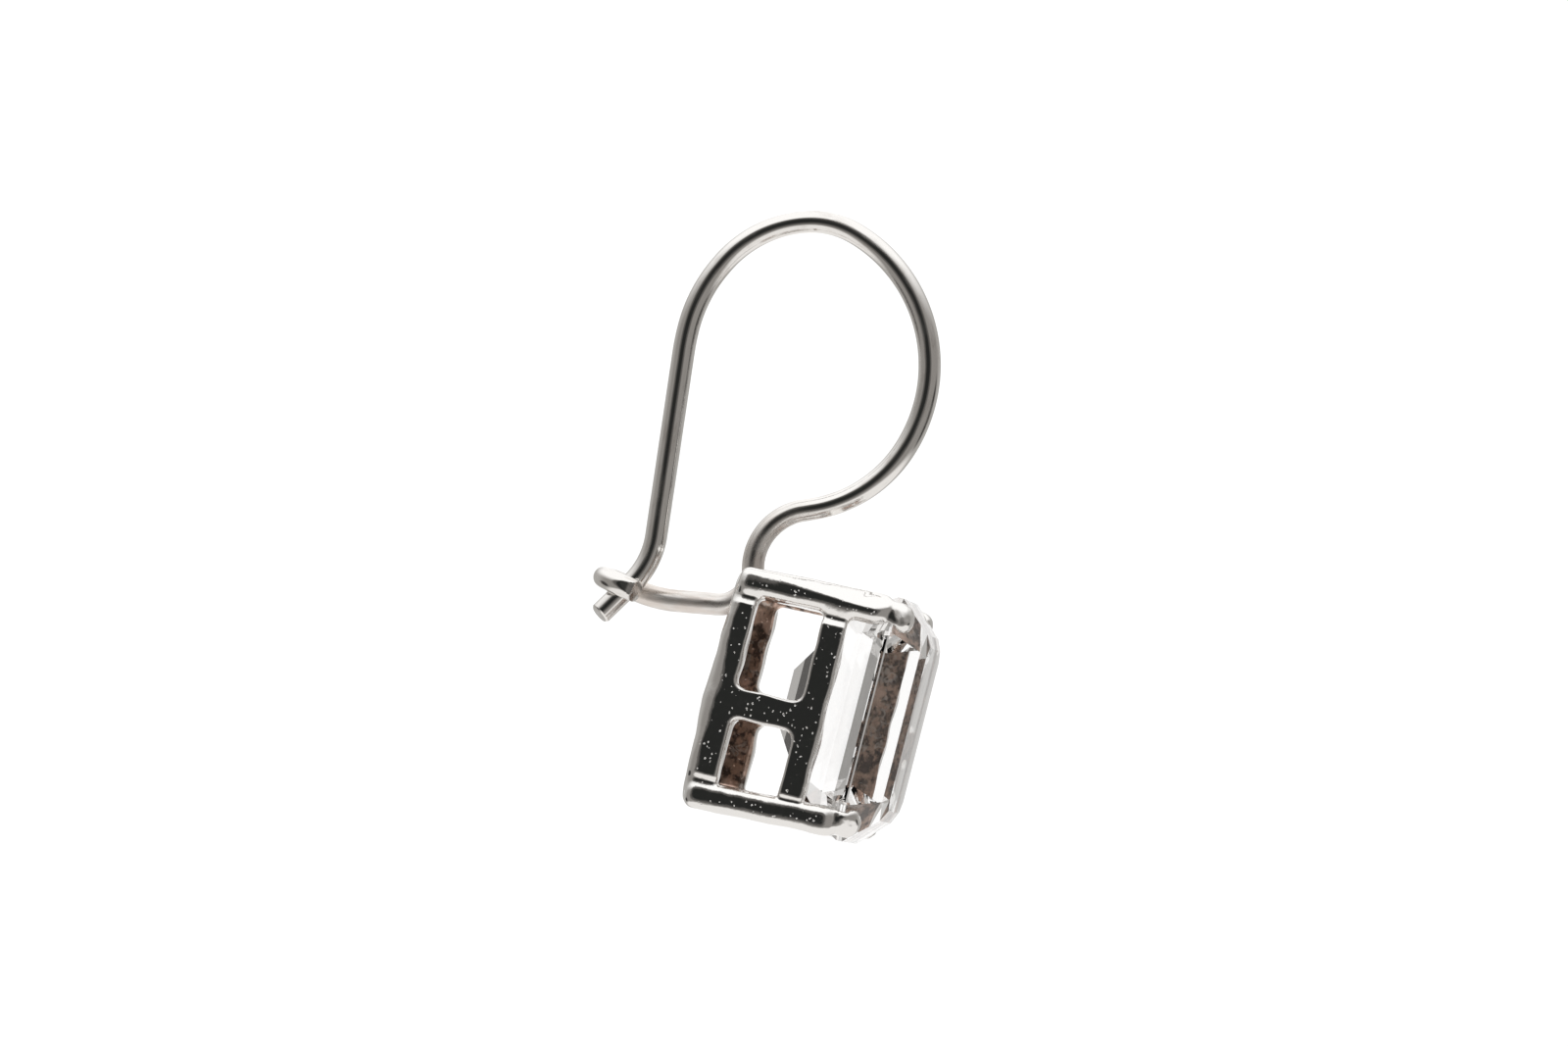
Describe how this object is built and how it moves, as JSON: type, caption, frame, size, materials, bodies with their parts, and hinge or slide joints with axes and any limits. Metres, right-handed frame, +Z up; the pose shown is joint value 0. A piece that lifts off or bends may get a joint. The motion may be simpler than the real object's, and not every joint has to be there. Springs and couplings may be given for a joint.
{
  "type": "earring",
  "caption": "Silver earring: an octagonal step-cut clear stone in a pronged basket, hung on a round ear wire whose free tail latches in the wire's own hook.",
  "frame": {"origin": "the ear wire's centreline at the crown of its arch, where it hangs in the ear", "axes": "+Z up, -Y to the front, where the stone's table looks, X across the stone; the ear wire's loop lies in the YZ plane"},
  "size_m": [0.0072, 0.0127, 0.0229],
  "materials": {
    "wire": "polished silver wire with fine drawing scratches",
    "setting": "polished cast silver with fine pits",
    "stone": "clear, polished flat facets"
  },
  "bodies": {
    "root": {"ear_wire": "wire", "setting": "setting", "stone": "stone"}
  },
  "joints": []
}
